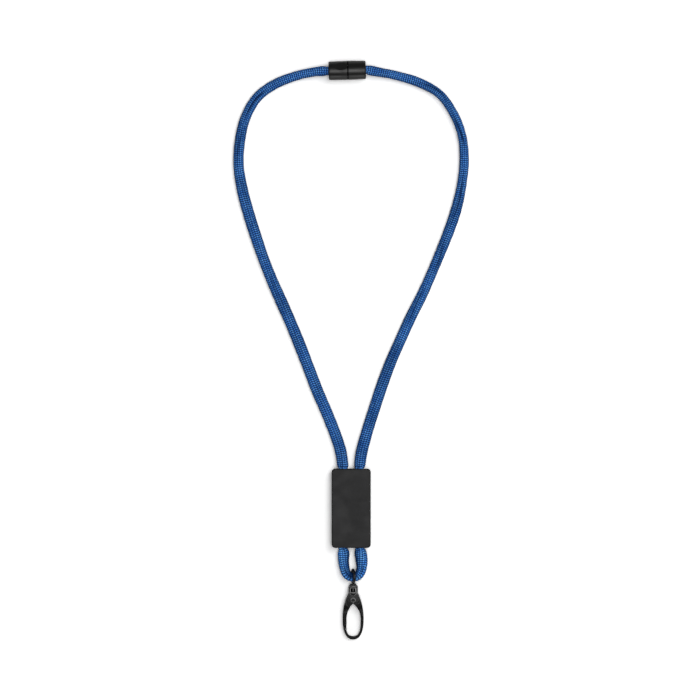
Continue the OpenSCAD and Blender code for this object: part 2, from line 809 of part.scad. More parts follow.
module hook_body() {
    color("#232325") hook_place() {
        difference() {
            union() {
                domed() difference() {
                    shoulder_form(open_w);
                    gate_side(knuckle_r);
                }
                yoke();
            }
            translate([0, 0, -slot_t / 2]) linear_extrude(slot_t) {
                translate([-hook_w, 0]) square([hook_w + slot_x, pin_h]);
                translate([-hook_w, 0]) square([hook_w, pin_h + hub_r + gate_gap]);
                translate([0, pin_h]) circle(slot_x);
            }
            translate([0, pin_h, 0])
                cylinder(d = pin_d + 2 * press_fit, h = shoulder_t + past, center = true);
        }
        difference() {
            skin(arm_rings());
            nose_cut(0);
        }
    }
}

module hook_gate() {
    root = 180 + (tongue_h - wide_h) / rise;
    inner = rim_inner(root, gate_in_w);
    outer = rim_outer(root);
    color("#232325") hook_place() {
        domed() intersection() {
            shoulder_form(gate_in_w);
            gate_side(knuckle_r + gate_gap);
        }
        difference() {
            translate([0, 0, tongue_z]) linear_extrude(tongue_t) {
                translate([0, pin_h]) circle(hub_r);
                polygon([[-hub_r, pin_h], [0, pin_h - hub_r], [inner.x - tongue_in, inner.y],
                    [outer.x + tongue_in, outer.y]]);
            }
            translate([0, pin_h, 0]) cylinder(d = pin_d + 2 * run_fit, h = shoulder_t, center = true);
        }
        intersection() {
            skin(gate_rings());
            nose_cut(gate_gap);
            linear_extrude(shoulder_t, center = true) gate_side(knuckle_r + gate_gap);
        }
    }
}

module gate_pin() {
    color("#4a4a4c") hook_place() translate([0, pin_h, 0]) {
        cylinder(d = pin_d, h = shoulder_t, center = true);
        translate([0, 0, shoulder_t / 2]) rivet_head();
        mirror([0, 0, 1]) translate([0, 0, shoulder_t / 2]) rivet_head();
    }
}

module gate_spring() {
    color("silver") hook_place() translate([0, pin_h, 0]) skin(spring_rings());
}

neck_cord_left();
neck_cord_right();
hook_loop_cord();
plug_shell();
plug_insert();
plug_ferrule();
socket_shell();
socket_ferrule();
tag_front();
tag_back();
swivel_eye();
hook_body();
hook_gate();
gate_pin();
gate_spring();
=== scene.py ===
"""Looks of a lanyard: braided neck cord, breakaway connector, cord tag and swivel snap hook."""

import logging
import math
from dataclasses import dataclass, field, replace
from enum import Enum

import bpy
import numpy as np
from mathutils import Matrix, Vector


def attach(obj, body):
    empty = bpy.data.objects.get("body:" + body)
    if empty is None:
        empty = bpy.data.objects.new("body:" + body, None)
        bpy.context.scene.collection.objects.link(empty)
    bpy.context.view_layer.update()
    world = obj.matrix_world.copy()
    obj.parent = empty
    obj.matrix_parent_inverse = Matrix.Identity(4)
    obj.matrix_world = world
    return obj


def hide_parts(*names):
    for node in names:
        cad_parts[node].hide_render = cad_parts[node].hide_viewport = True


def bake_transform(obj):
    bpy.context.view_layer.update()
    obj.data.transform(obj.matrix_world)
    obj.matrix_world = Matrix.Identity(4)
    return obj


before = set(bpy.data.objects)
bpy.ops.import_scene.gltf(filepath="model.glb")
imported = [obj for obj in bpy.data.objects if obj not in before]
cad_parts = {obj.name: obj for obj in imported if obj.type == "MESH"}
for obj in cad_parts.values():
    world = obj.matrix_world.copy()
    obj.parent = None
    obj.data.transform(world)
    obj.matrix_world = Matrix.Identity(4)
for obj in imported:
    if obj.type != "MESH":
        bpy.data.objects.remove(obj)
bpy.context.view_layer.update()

LOG = logging.getLogger("lanyard")
MM = 0.001
SHADE = "shade"
UP = (0.0, 0.0, 1.0)
WHITE = (1.0, 1.0, 1.0)
BLACK = (0.0, 0.0, 0.0)

Array = np.ndarray
Socket = bpy.types.NodeSocket
Value = float | tuple[float, ...] | Socket
Range = tuple[float, float]
Triple = tuple[float, float, float]
Station = tuple[float, float, float, float]

RISING: Range = (0.0, 1.0)
FALLING: Range = (1.0, 0.0)


class Body(Enum):
    """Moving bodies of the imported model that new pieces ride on."""

    STRAP = "strap"
    PLUG = "plug"


class Slot(Enum):
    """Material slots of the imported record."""

    CORD = "cord"
    CONNECTOR = "connector_plastic"


class FarEnd(Enum):
    """What a cord's far end goes into."""

    CONNECTOR = "connector"
    OBJECT = "object"


# Surfaces


def unit(v: Array) -> Array:
    """Vectors of length 1 along the last axis of v."""
    return v / np.linalg.norm(v, axis=-1, keepdims=True)


def distances(path: Array) -> Array:
    """Distance along a path to each of its points."""
    return np.concatenate([[0], np.cumsum(np.linalg.norm(np.diff(path, axis=0), axis=1))])


def spline(points: Array, per_span: int) -> Array:
    """Smooth curve through points: a Catmull-Rom cubic on each span.

    Args:
        points: stations of any width, one in each row.
        per_span: samples on each span.

    Returns:
        The samples, with the last station at the end.
    """
    p = np.vstack([2 * points[0] - points[1], points, 2 * points[-1] - points[-2]])
    a, b, c, d = (p[k : len(p) - 3 + k, None, :] for k in range(4))
    t = np.linspace(0, 1, per_span, endpoint=False)[None, :, None]
    cubic = 2 * b + (c - a) * t + (2 * a - 5 * b + 4 * c - d) * t**2 + (3 * b - a - 3 * c + d) * t**3
    return np.vstack([(cubic / 2).reshape(-1, points.shape[1]), points[-1:]])


def rounded_loop(points: Array, radius: Array, steps: int = 6) -> Array:
    """Closed outline with rounded corners: at each corner a parabola between two points of its sides.

    Args:
        points: corners in order.
        radius: distance from each corner at which the rounding starts.
        steps: points on each corner.

    Returns:
        The rounded outline.
    """
    before = unit(np.roll(points, 1, 0) - points) * radius[:, None]
    after = unit(np.roll(points, -1, 0) - points) * radius[:, None]
    t = np.linspace(0, 1, steps)[None, :, None]
    curve = points[:, None] + before[:, None] * (1 - t) ** 2 + after[:, None] * t**2
    return curve.reshape(-1, points.shape[1])


def spread(loop: Array, step: float) -> Array:
    """Closed outline with points added evenly on its long sides.

    Args:
        loop: points in order.
        step: longest distance between two points.

    Returns:
        The outline with the added points.
    """
    after = np.roll(loop, -1, 0)
    parts = np.maximum(1, np.ceil(np.linalg.norm(after - loop, axis=1) / step)).astype(int)
    start = np.repeat(np.arange(len(loop)), parts)
    share = (np.arange(len(start)) - np.repeat(np.cumsum(parts) - parts, parts)) / parts[start]
    return loop[start] + (after - loop)[start] * share[:, None]


def grid_faces(rows: int, columns: int, wrap_rows: bool) -> Array:
    """Quads of a grid of vertices, numbered row by row, whose rows are closed rings.

    Args:
        rows: rows of vertices.
        columns: vertices in a row.
        wrap_rows: whether the last row joins the first.

    Returns:
        Vertex numbers, four in each row.
    """
    i, j = np.meshgrid(np.arange(rows if wrap_rows else rows - 1), np.arange(columns), indexing="ij")
    below, right = (i + 1) % rows, (j + 1) % columns
    corners = (i * columns + j, i * columns + right, below * columns + right, below * columns + j)
    return np.stack(corners, -1).reshape(-1, 4)


def add_object(name: str, mesh: bpy.types.Mesh) -> bpy.types.Object:
    """Links a mesh to the scene at the origin.

    Args:
        name: name of the object.
        mesh: its mesh.

    Returns:
        The object.
    """
    piece = bpy.data.objects.new(name, mesh)
    bpy.context.scene.collection.objects.link(piece)
    return piece


def grid_object(
    name: str,
    points: Array,
    shade: Array,
    wrap_rows: bool = False,
    uv_step: tuple[float, float] = (1.0, 1.0),
) -> bpy.types.Object:
    """Smooth mesh over a grid of points whose rows are closed rings.

    Where the last row doesn't join the first, a fan from the middle of each of the two closes the end.

    Args:
        name: name of the object.
        points: positions in rows, columns and x, y, z, in metres.
        shade: darkness of each point from 0 to 1, kept as an attribute of the vertices.
        wrap_rows: whether the last row joins the first.
        uv_step: UV units for one column and for one row.

    Returns:
        The object, with its place in its mesh.
    """
    rows, columns = points.shape[:2]
    quads = grid_faces(rows, columns, wrap_rows)
    vertices = points.reshape(-1, 3)
    faces = quads.tolist()
    row, column = np.divmod(quads[:, 0], columns)
    across = np.stack([column, column + 1, column + 1, column], -1) * uv_step[0]
    along = np.stack([row, row, row + 1, row + 1], -1) * uv_step[1]
    uv = np.stack([across, along], -1).reshape(-1, 2)
    if not wrap_rows:
        ring = np.arange(columns)
        after = (ring + 1) % columns
        count, last = len(vertices), (rows - 1) * columns
        vertices = np.vstack([vertices, points[0].mean(0), points[-1].mean(0)])
        first_fan = np.stack([np.full(columns, count), after, ring], -1)
        last_fan = np.stack([np.full(columns, count + 1), last + ring, last + after], -1)
        faces += first_fan.tolist() + last_fan.tolist()
        uv = np.vstack([uv, np.zeros((first_fan.size + last_fan.size, 2))])
    mesh = bpy.data.meshes.new(name)
    mesh.from_pydata(vertices.tolist(), [], faces)
    layer = mesh.uv_layers.new(name="UVMap")
    layer.data.foreach_set("uv", uv.astype(np.float32).ravel())
    values = np.zeros(len(vertices), np.float32)
    values[: shade.size] = shade.ravel()
    mesh.attributes.new(SHADE, "FLOAT", "POINT").data.foreach_set("value", values)
    mesh.polygons.foreach_set("use_smooth", np.ones(len(faces), bool))
    mesh.update()
    return add_object(name, mesh)


# Finishes


class Graph:
    """Node tree of one material, with short calls for the nodes that the finishes share."""

    def __init__(self, name: str) -> None:
        """Starts an empty tree in a new material.

        Args:
            name: name of the material.
        """
        self.material = bpy.data.materials.new(name)
        self.material.use_nodes = True
        self.tree = self.material.node_tree
        self.tree.nodes.clear()

    def node(self, kind: str, inputs: dict[str | int, Value], **settings: object) -> bpy.types.Node:
        """Adds a node.

        Args:
            kind: type name of the node.
            inputs: values or sockets for its inputs, by name or number.
            **settings: properties of the node.

        Returns:
            The node.
        """
        made = self.tree.nodes.new(kind)
        for key, value in settings.items():
            setattr(made, key, value)
        for key, value in inputs.items():
            if isinstance(value, bpy.types.NodeSocket):
                self.tree.links.new(value, made.inputs[key])
            else:
                made.inputs[key].default_value = value
        return made

    def math(self, operation: str, *values: Value) -> Socket:
        """Result of a math node."""
        return self.node("ShaderNodeMath", dict(enumerate(values)), operation=operation).outputs[0]

    def arch(self, value: Socket, power: float) -> Socket:
        """Half a sine wave over a value from 0 to 1, to a power."""
        return self.math("POWER", self.math("SINE", self.math("MULTIPLY", value, math.pi)), power)

    def coordinates(self, kind: str) -> Socket:
        """Texture coordinates of one kind."""
        return self.node("ShaderNodeTexCoord", {}).outputs[kind]

    def split(self, vector: Socket) -> list[Socket]:
        """The x, y and z of a vector."""
        return list(self.node("ShaderNodeSeparateXYZ", {0: vector}).outputs)

    def shade(self) -> Socket:
        """Darkness that is kept with the vertices, from 0 to 1."""
        return self.node("ShaderNodeAttribute", {}, attribute_name=SHADE).outputs["Fac"]

    def noise(self, vector: Socket, scale: float, detail: float = 3.0, roughness: float = 0.55) -> Socket:
        """Noise from 0 to 1 at a scale, in waves to the unit."""
        inputs = {"Vector": vector, "Scale": scale, "Detail": detail, "Roughness": roughness}
        return self.node("ShaderNodeTexNoise", inputs).outputs["Fac"]

    def ranged(self, value: Socket, source: Range, target: Range = RISING) -> Socket:
        """A value moved from one range to another, and kept inside it."""
        inputs = dict(enumerate((value, *source, *target)))
        return self.node("ShaderNodeMapRange", inputs, clamp=True).outputs[0]

    def mix(self, factor: Socket, first: Value, second: Value) -> Socket:
        """Colour between two colours."""
        return self.node("ShaderNodeMix", {0: factor, 6: first, 7: second}, data_type="RGBA").outputs[2]

    def bump(self, height: Socket, distance: float, strength: float, normal: Socket | None = None) -> Socket:
        """Normal of a height field.

        Args:
            height: heights from 0 to about 1.
            distance: metres for a height of 1.
            strength: share of the relief that shows.
            normal: normal that the relief stands on, if it isn't the surface's own.

        Returns:
            The normal.
        """
        inputs: dict[str | int, Value] = {"Height": height, "Distance": distance, "Strength": strength}
        if normal is not None:
            inputs["Normal"] = normal
        return self.node("ShaderNodeBump", inputs).outputs[0]

    def bevel(self, radius: float) -> Socket:
        """Normal that is rounded over edges and facets."""
        return self.node("ShaderNodeBevel", {"Radius": radius}, samples=6).outputs[0]

    def finish(self, kind: str, inputs: dict[str | int, Value]) -> bpy.types.Material:
        """Adds the shader and makes it the surface.

        Args:
            kind: type name of the shader's node.
            inputs: values or sockets for its inputs, by name.

        Returns:
            The material.
        """
        shader = self.node(kind, inputs)
        output = self.tree.nodes.new("ShaderNodeOutputMaterial")
        self.tree.links.new(shader.outputs[0], output.inputs["Surface"])
        return self.material


def colour(rgb: Triple) -> tuple[float, float, float, float]:
    """Opaque linear colour."""
    return (*rgb, 1.0)


@dataclass(frozen=True)
class BraidFinish:
    """Braided polyester: rounded floats in slanted columns, with a painted highlight on each crown as strong
    as chance has it, and painted shade in the grooves between them.

    Colours are linear. A range is the stretch of a noise or of the height that counts, and tones are what
    it becomes. Waves are counted to the unit of the coordinates, and the relief is in metres.
    """

    name: str = "braided_cord"
    # groove is painted shade between the floats, light is a painted highlight on their crowns, and dim takes
    # random patches and painted shade
    groove: Triple = (0.0003, 0.005, 0.030)
    base: Triple = (0.002, 0.120, 0.655)
    light: Triple = (0.245, 0.600, 1.000)
    dim: Triple = (0.0004, 0.008, 0.045)
    slant: float = 0.4
    along_power: float = 1.3
    across_power: float = 0.6
    base_heights: Range = (0.15, 0.75)
    light_power: float = 1.5
    float_tones: Range = (0.5, 1.2)
    fibre_scale: Triple = (9.0, 2.0, 1.0)
    fibre_waves: float = 1.6
    fibre_range: Range = (0.35, 0.7)
    fibre_tones: Range = (0.2, 1.0)
    fibre_height: float = 0.35
    patch_waves: float = 55.0
    patch_range: Range = (0.42, 0.72)
    patch_share: float = 0.35
    shade_share: float = 0.92
    relief: float = 0.00012
    relief_strength: float = 0.8
    roughness: float = 0.6
    specular: float = 0.02

    def make(self) -> bpy.types.Material:
        """Makes the finish on UVs that count columns across and rows along.

        The height of a float is one arch along it times one across it; the colour paints a highlight where
        it is high and shade where it is low, and the painted shade kept with the vertices darkens both.

        Returns:
            The material.
        """
        g = Graph(self.name)
        uv = g.coordinates("UV")
        u, v, _ = g.split(uv)
        column, across = g.math("FLOOR", u), g.math("FRACT", u)
        lean = g.math("ABSOLUTE", g.math("SUBTRACT", g.math("MODULO", column, 2.0), across))
        row = g.math("MULTIPLY_ADD", lean, self.slant, v)
        along = g.arch(g.math("FRACT", row), self.along_power)
        height = g.math("MULTIPLY", along, g.arch(across, self.across_power))
        strands = g.node("ShaderNodeMapping", {"Vector": uv, "Scale": self.fibre_scale}).outputs[0]
        fibre = g.noise(strands, self.fibre_waves, detail=2.0)
        patches = g.noise(g.coordinates("Object"), self.patch_waves, detail=2.0)
        place = g.node("ShaderNodeCombineXYZ", {0: column, 1: g.math("FLOOR", row)}).outputs[0]
        chance = g.node("ShaderNodeTexWhiteNoise", {"Vector": place}, noise_dimensions="2D").outputs["Value"]
        # painted highlight on the crowns of the floats
        lit = g.math("POWER", height, self.light_power)
        lit = g.math("MULTIPLY", lit, g.ranged(fibre, self.fibre_range, self.fibre_tones))
        lit = g.math("MULTIPLY", lit, g.ranged(chance, RISING, self.float_tones))
        # painted shade in the grooves and painted highlight on the crowns, then painted shade from the
        # vertices
        body = g.mix(g.ranged(height, self.base_heights), colour(self.groove), colour(self.base))
        body = g.mix(lit, body, colour(self.light))
        body = g.mix(g.ranged(patches, self.patch_range, (0.0, self.patch_share)), body, colour(self.dim))
        body = g.mix(g.math("MULTIPLY", g.shade(), self.shade_share), body, colour(self.dim))
        relief = g.math("ADD", height, g.math("MULTIPLY", fibre, self.fibre_height))
        return g.finish("ShaderNodeBsdfPrincipled", {
            "Base Color": body,
            "Roughness": self.roughness,
            "Specular IOR Level": self.specular,
            "Normal": g.bump(relief, self.relief, self.relief_strength),
        })


@dataclass(frozen=True)
class MouldedFinish:
    """Moulded plastic or coated metal: grain with paler peaks, uneven gloss, and edges that may be painted
    bright, as wear and as a painted highlight.

    The grain is in waves to the metre, and a cloud or a lump is so many grains wide. Depths and the edges'
    rounding are in metres, and the bright edges grow from nothing to full over wear_and_highlight_y.
    """

    name: str
    base: Triple
    worn: Triple
    roughness: Range
    grain: float
    grain_depth: float
    specular: float
    edge: float
    metallic: float = 0.0
    lumps: float = 0.0
    wear_and_highlight: float = 0.0
    wear_and_highlight_y: Range = (-1.0, 0.0)
    shaded_groove: bool = False
    grain_range: Range = (0.35, 0.75)
    grain_share: float = 0.55
    grain_strength: float = 0.7
    cloud_grains: float = 18.0
    cloud_range: Range = (0.45, 0.75)
    cloud_share: float = 0.35
    gloss_range: Range = (0.3, 0.7)
    lump_grains: float = 4.0
    edge_range: Range = (0.9, 0.995)
    edge_patch_range: Range = (0.35, 0.6)
    edge_patch_tones: Range = (0.3, 1.0)

    def make(self) -> bpy.types.Material:
        """Makes the finish on object coordinates in metres.

        In a groove, painted shade kept with the vertices turns the surface to rough black metal, which takes
        its gloss.

        Returns:
            The material.
        """
        g = Graph(self.name)
        place = g.coordinates("Object")
        grain = g.noise(place, self.grain, detail=4.0, roughness=0.6)
        cloud = g.noise(place, self.grain / self.cloud_grains)
        worn = g.ranged(grain, self.grain_range, (0.0, self.grain_share))
        body = g.mix(worn, colour(self.base), colour(self.worn))
        body = g.mix(g.ranged(cloud, self.cloud_range, (0.0, self.cloud_share)), body, colour(self.base))
        gloss = g.ranged(cloud, self.gloss_range, self.roughness)
        metallic: Value = self.metallic
        # painted shade in a groove: black, rough metal with no reflection
        if self.shaded_groove:
            metallic = g.shade()
            body = g.mix(metallic, body, colour(BLACK))
            gloss = g.math("MAXIMUM", gloss, metallic)
        smooth = g.bevel(self.edge)
        # wear and painted highlight on the edges
        if self.wear_and_highlight > 0:
            body = g.mix(self.edges(g, place, smooth, cloud), body, colour((self.wear_and_highlight,) * 3))
        if self.lumps > 0:
            swell = g.noise(place, self.grain / self.lump_grains, detail=2.0)
            smooth = g.bump(swell, self.lumps, 1.0, smooth)
        return g.finish("ShaderNodeBsdfPrincipled", {
            "Base Color": body,
            "Roughness": gloss,
            "Metallic": metallic,
            "Specular IOR Level": self.specular,
            "Normal": g.bump(grain, self.grain_depth, self.grain_strength, smooth),
        })

    def edges(self, g: Graph, place: Socket, smooth: Socket, cloud: Socket) -> Socket:
        """Bright edges, partly wear and partly painted highlight: how far the rounded normal leaves the
        face's own, in uneven patches.

        Args:
            g: tree of the material.
            place: object coordinates; the bright edges grow along y over wear_and_highlight_y.
            smooth: rounded normal.
            cloud: noise of the patches.

        Returns:
            Edge brightness from 0 to 1.
        """
        face = g.node("ShaderNodeNewGeometry", {}).outputs["True Normal"]
        agree = g.node("ShaderNodeVectorMath", {0: smooth, 1: face}, operation="DOT_PRODUCT").outputs["Value"]
        patches = g.ranged(cloud, self.edge_patch_range, self.edge_patch_tones)
        patches = g.math("MULTIPLY", g.ranged(g.split(place)[1], self.wear_and_highlight_y), patches)
        return g.math("MULTIPLY", g.ranged(agree, self.edge_range, FALLING), patches)


@dataclass(frozen=True)
class RivetFinish:
    """Blackened rivet with a ring on its head painted bright, as wear and as a painted highlight, with sizes
    and places in metres.
    """

    centre: tuple[float, float]
    ring_r: float = 0.0015
    ring_w: float = 0.0006
    dark: Triple = (0.010, 0.010, 0.010)
    bright: Triple = (0.4, 0.4, 0.4)
    patch_waves: float = 900.0
    patch_range: Range = (0.42, 0.62)
    roughness: Range = (0.5, 0.3)
    metallic: float = 0.7
    grain: float = 2600.0
    grain_depth: float = 0.00003
    grain_strength: float = 0.7
    edge: float = 0.0002

    def make(self) -> bpy.types.Material:
        """Makes the finish on object coordinates: wear and a painted highlight, bright at one distance from
        the rivet's axis, in patches.

        Returns:
            The material.
        """
        g = Graph("black_oxide")
        place = g.coordinates("Object")
        x, y, _ = g.split(place)
        x = g.math("SUBTRACT", x, self.centre[0])
        y = g.math("SUBTRACT", y, self.centre[1])
        away = g.math("SQRT", g.math("ADD", g.math("MULTIPLY", x, x), g.math("MULTIPLY", y, y)))
        off = g.math("ABSOLUTE", g.math("SUBTRACT", away, self.ring_r))
        patches = g.ranged(g.noise(place, self.patch_waves), self.patch_range)
        # painted highlight and wear in a ring on the head
        wear_and_highlight = g.math("MULTIPLY", g.ranged(off, (0.0, self.ring_w), FALLING), patches)
        grain = g.noise(place, self.grain, detail=4.0)
        return g.finish("ShaderNodeBsdfPrincipled", {
            "Base Color": g.mix(wear_and_highlight, colour(self.dark), colour(self.bright)),
            "Roughness": g.ranged(wear_and_highlight, RISING, self.roughness),
            "Metallic": self.metallic,
            "Normal": g.bump(grain, self.grain_depth, self.grain_strength, g.bevel(self.edge)),
        })


@dataclass(frozen=True)
class FloorFinish:
    """White paper: the camera sees it brighter than it lights the object and shows in reflections."""

    seen: float = 1.3
    lit: float = 0.3
    mirrored: float = 0.6
    speckle_waves: float = 900.0
    speckle_range: Range = (0.3, 0.7)
    speckle_tones: Range = (0.985, 1.0)

    def make(self) -> bpy.types.Material:
        """Makes a diffuse finish with its own white for the camera and for reflections.

        Returns:
            The material.
        """
        g = Graph("white_paper")
        rays = g.node("ShaderNodeLightPath", {}).outputs
        speckle = g.noise(g.coordinates("Object"), self.speckle_waves)
        speckle = g.ranged(speckle, self.speckle_range, self.speckle_tones)
        seen, lit, mirrored = (g.math("MULTIPLY", speckle, k) for k in (self.seen, self.lit, self.mirrored))
        tone = g.mix(rays["Is Camera Ray"], g.mix(rays["Is Glossy Ray"], lit, mirrored), seen)
        return g.finish("ShaderNodeBsdfDiffuse", {"Color": tone})


def dress(piece: bpy.types.Object, material: bpy.types.Material) -> None:
    """Gives a piece one material, in place of what it had."""
    piece.data.materials.clear()
    piece.data.materials.append(material)


def dress_nodes(material: bpy.types.Material, *names: str) -> None:
    """Gives nodes that keep their solids one material, and reports each.

    Args:
        material: the material.
        *names: names of the nodes.
    """
    for name in names:
        dress(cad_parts[name], material)
        LOG.info("%s dressed", name)


# Cord


@dataclass
class Braid:
    """Braided tubular cord: its sizes in millimetres, and the relief of its stitches."""

    round_d: float = 6.2
    flat_w: float = 8.2
    columns: int = 14
    pitch: float = 1.52
    sides: int = 84
    rings_per_row: int = 5
    depth: float = 0.32
    slant: float = 0.4
    skew: float = 0.25
    along_power: float = 0.8
    across_power: int = 4

    def section(self, flat: Array) -> tuple[Array, Array]:
        """Width and thickness at a flatness: what the cord gains in width it loses in thickness."""
        gain = flat * (self.flat_w - self.round_d)
        return self.round_d + gain, self.round_d - gain

    def relief(self, column: Array, row: Array) -> Array:
        """Depth of the surface under the stitches' crowns, in millimetres.

        Each column is a run of floats, one for every row; odd columns slant the other way, so that the rows
        run across in a zigzag. Along a float the height is the sine of the row to a power, and across it the
        float rounds off to both edges of its column.

        Args:
            column: place across, one unit for each column.
            row: place along, one unit for each float.

        Returns:
            Depths from 0 on a crown to depth in a groove.
        """
        odd = np.floor(column) % 2
        across = column % 1
        phase = (row + self.slant * np.abs(odd - across)) % 1
        crown = 1 - np.abs(2 * across - 1) ** self.across_power
        return self.depth * (1 - np.sin(np.pi * phase) ** self.along_power * crown)


@dataclass
class Cord:
    """One stretch of the cord along its stations, in millimetres, with its creases and shades.

    The diameter declared_d, the cord's width as it lies, is in metres. Waves are counted on the whole
    stretch, and the twist and the crease's width and sway are in radians. inner is the middle of a loop, if
    it is one.
    """

    node: str
    stations: list[Station]
    far_end: FarEnd
    braid: Braid
    seed: int
    far_body: Body = Body.STRAP
    with_nodes: list[str] = field(default_factory=list)
    inner: tuple[float, float] | None = None
    # tone: an even painted shade over the whole stretch
    tone: float = 0.07
    declared_d: float = 0.0072
    samples: int = 60
    sines: int = 4
    sine_rates: Range = (0.6, 1.6)
    sine_gain: float = 1.6
    twist: float = 0.5
    twist_waves: int = 2
    swell: float = 0.012
    swell_waves: int = 40
    skew_waves: int = 6
    crease: float = 0.45
    crease_w: float = 0.28
    crease_sway: float = 0.5
    crease_sway_waves: int = 5
    crease_flat: float = 1.3
    crease_range: Range = (0.2, 0.9)
    crease_mean: float = 0.6
    crease_waves: int = 7
    crease_free: float = 30.0
    # crease_shade, side_shade, eye_reach and eye_side set painted shade
    crease_shade: float = 1.1
    side_shade: float = 0.78
    side_power: int = 4
    eye_reach: float = 3.2
    eye_side: float = 0.8

    def route(self) -> tuple[Array, Array, Array]:
        """Rings evenly spaced along a smooth curve through the stations.

        Returns:
            Middles, widths and thicknesses of the rings, in millimetres.
        """
        dense = spline(np.array(self.stations), self.samples)
        dense[:, 2:] = np.maximum(dense[:, 2:], 0)
        width, thick = self.braid.section(dense[:, 3])
        middle = np.column_stack([dense[:, :2], dense[:, 2] + thick / 2])
        along = distances(middle)
        rings = round(along[-1] / self.braid.pitch) * self.braid.rings_per_row + 1
        at = np.linspace(0, along[-1], rings)
        middle = np.column_stack([np.interp(at, along, middle[:, k]) for k in range(3)])
        return middle, np.interp(at, along, width), np.interp(at, along, thick)

    def wander(self, count: int, waves: int) -> Array:
        """Smooth run of numbers between about -1 and 1: a sum of sines with seeded phases and rates.

        Args:
            count: how many numbers.
            waves: about how many waves there are on the whole stretch.

        Returns:
            The numbers.
        """
        draw = np.random.default_rng(self.seed + waves)
        t = np.linspace(0, 1, count)[:, None]
        phase = draw.uniform(0, 2 * np.pi, self.sines)
        rate = waves * draw.uniform(*self.sine_rates, self.sines)
        return np.sin(2 * np.pi * rate * t + phase).mean(1) * self.sine_gain

    def fold(self, angle: Array, width: Array) -> Array:
        """Lengthwise crease in the hollow cord: a bell curve across a line that sways about the top.

        It comes and goes along the cord, is deepest where the cord is round, and leaves the far end free.

        Args:
            angle: angles of the points round each ring.
            width: widths of the rings.

        Returns:
            Depths from 0 to 1.
        """
        braid, count = self.braid, len(width)
        flat = np.clip((width - braid.round_d) / (braid.flat_w - braid.round_d), 0, 1)
        line = np.pi / 2 + self.crease_sway * self.wander(count, self.crease_sway_waves)
        gap = (angle - line[:, None] + np.pi) % (2 * np.pi) - np.pi
        from_end = (count - 1 - np.arange(count)) * braid.pitch / braid.rings_per_row
        come = np.clip(self.crease_mean + self.crease_mean * self.wander(count, self.crease_waves), 0, 1)
        deep = np.clip(self.crease_flat - flat, *self.crease_range) * come
        deep = deep * np.clip(from_end / self.crease_free - 1, 0, 1)
        return deep[:, None] * np.exp(-((gap / self.crease_w) ** 2))

    def build(self) -> tuple[bpy.types.Object, Array]:
        """Sweeps the section along the route.

        A ring is an oval nearly square to the route; its points turn slowly with the braid, and stand back
        by the stitches' relief and by the crease. Painted shade darkens the crease, the two sides, as a power
        of the cosine round the ring, and the inside of a loop.

        Returns:
            The piece, and the ring middles in metres.
        """
        middle, width, thick = self.route()
        braid, count = self.braid, len(middle)
        ahead = unit(np.gradient(middle, axis=0))
        across = unit(np.cross(ahead, UP))
        up = np.cross(across, ahead)
        side = np.arange(braid.sides)[None, :]
        twist = self.twist * self.wander(count, self.twist_waves)
        angle = 2 * np.pi * side / braid.sides + twist[:, None]
        column = side * braid.columns / braid.sides
        row = np.arange(count)[:, None] / braid.rings_per_row
        fold = self.fold(angle, width)
        depth = braid.relief(column, row) + self.crease * fold
        swell = 1 + self.swell * self.wander(count, self.swell_waves)
        half_w = (width / 2 * swell)[:, None] - depth
        half_t = (thick / 2)[:, None] - depth
        lean = braid.skew * self.wander(count, self.skew_waves)[:, None] * np.cos(angle)
        points = (
            middle[:, None]
            + across[:, None] * (half_w * np.cos(angle))[..., None]
            + up[:, None] * (half_t * np.sin(angle))[..., None]
            + ahead[:, None] * lean[..., None]
        )
        # painted shade on both sides, in the crease and on the inside of a loop
        dark = self.side_shade * np.abs(np.cos(angle)) ** self.side_power + self.inside(middle, across, angle)
        shade = np.clip(self.tone + self.crease_shade * fold + dark, 0, 1)
        step = (braid.columns / braid.sides, 1 / braid.rings_per_row)
        piece = grid_object(self.node + "_braid", points * MM, shade, uv_step=step)
        return piece, middle * MM

    def inside(self, middle: Array, across: Array, angle: Array) -> Array:
        """Painted shade on the side that faces the middle of a loop, and a painted shadow under the eye at
        the bottom of the loop.

        The first is the cosine to that direction, the second a flat bell curve along the cord that fades
        out towards the outer side.

        Args:
            middle: ring middles.
            across: sideways directions of the rings.
            angle: angles of the points round each ring.

        Returns:
            Shades, which are 0 on a stretch without a loop.
        """
        if self.inner is None:
            return np.zeros_like(angle)
        to_middle = np.array(self.inner) - middle[:, :2]
        facing = (across[:, :2] * unit(to_middle)).sum(1)[:, None] * np.cos(angle)
        along = distances(middle)
        from_eye = along - along[np.argmin(middle[:, 1])]
        # painted shadow of the eye on the bottom of the loop
        under = np.exp(-((from_eye / self.eye_reach) ** 4))[:, None] * np.clip(self.eye_side + facing, 0, 1)
        return np.clip(facing, 0, 1) + under

    def declare(self, piece: bpy.types.Object, path: Array) -> None:
        """Hides the cord's imported node.

        Args:
            piece: the swept braid; not used.
            path: ring middles in metres; not used.
        """
        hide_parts(self.node)


